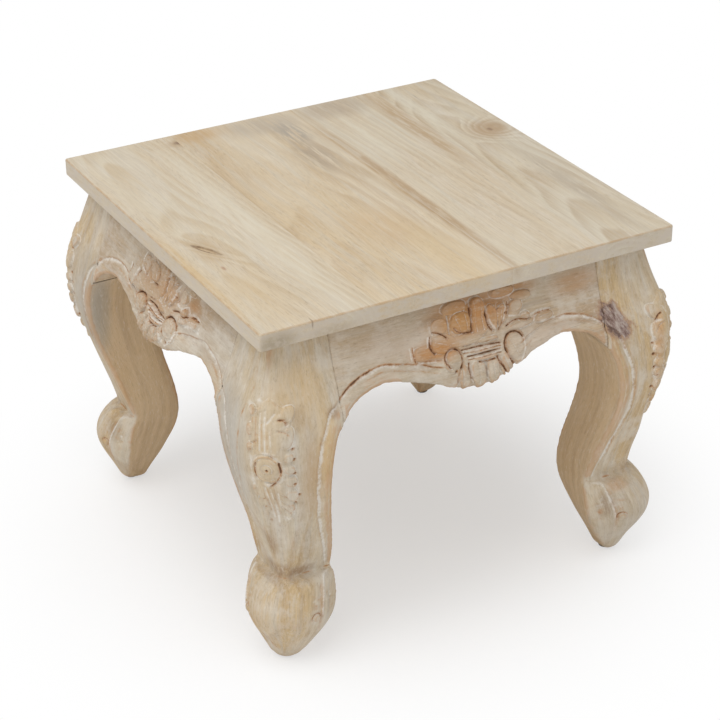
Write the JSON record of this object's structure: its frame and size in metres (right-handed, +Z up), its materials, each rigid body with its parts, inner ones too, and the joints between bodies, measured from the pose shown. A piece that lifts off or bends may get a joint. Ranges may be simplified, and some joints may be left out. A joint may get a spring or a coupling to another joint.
{
  "type": "coffee table",
  "caption": "Low square coffee table with a boarded top, arched carved aprons and carved cabriole legs on scroll feet, in pale limed wood.",
  "frame": {"origin": "on the floor, under the middle of the top", "axes": "+Z up, -Y towards the front apron, +X to the right of the front, across the top's boards"},
  "size_m": [0.474, 0.474, 0.38],
  "materials": {
    "top_wood": "limed and waxed solid hardwood, matt, with grey streaks and dark knots",
    "apron_wood": "carved hardwood, limed, white residue in the cuts and worn orange ridges",
    "leg_wood": "carved hardwood, limed, white residue in the cuts and worn orange ridges",
    "brace_wood": "sawn softwood, unfinished",
    "dowel_wood": "turned hardwood dowel, unfinished",
    "glide_steel": "nickel plated, dulled",
    "screw_steel": "yellow zinc plated, dulled"
  },
  "bodies": {
    "root": {"top_board_left": "top_wood", "top_board_mid_left": "top_wood", "top_board_mid_right": "top_wood", "top_board_right": "top_wood", "top_dowels": "dowel_wood", "apron_front": "apron_wood", "apron_right": "apron_wood", "apron_back": "apron_wood", "apron_left": "apron_wood", "leg_front_right": "leg_wood", "leg_back_right": "leg_wood", "leg_back_left": "leg_wood", "leg_front_left": "leg_wood", "glide_front_right": "glide_steel", "glide_back_right": "glide_steel", "glide_back_left": "glide_steel", "glide_front_left": "glide_steel", "corner_brace_front_right": "brace_wood", "corner_brace_back_right": "brace_wood", "corner_brace_back_left": "brace_wood", "corner_brace_front_left": "brace_wood", "apron_screws": "screw_steel", "leg_screws": "screw_steel", "top_screws": "screw_steel"}
  },
  "joints": []
}
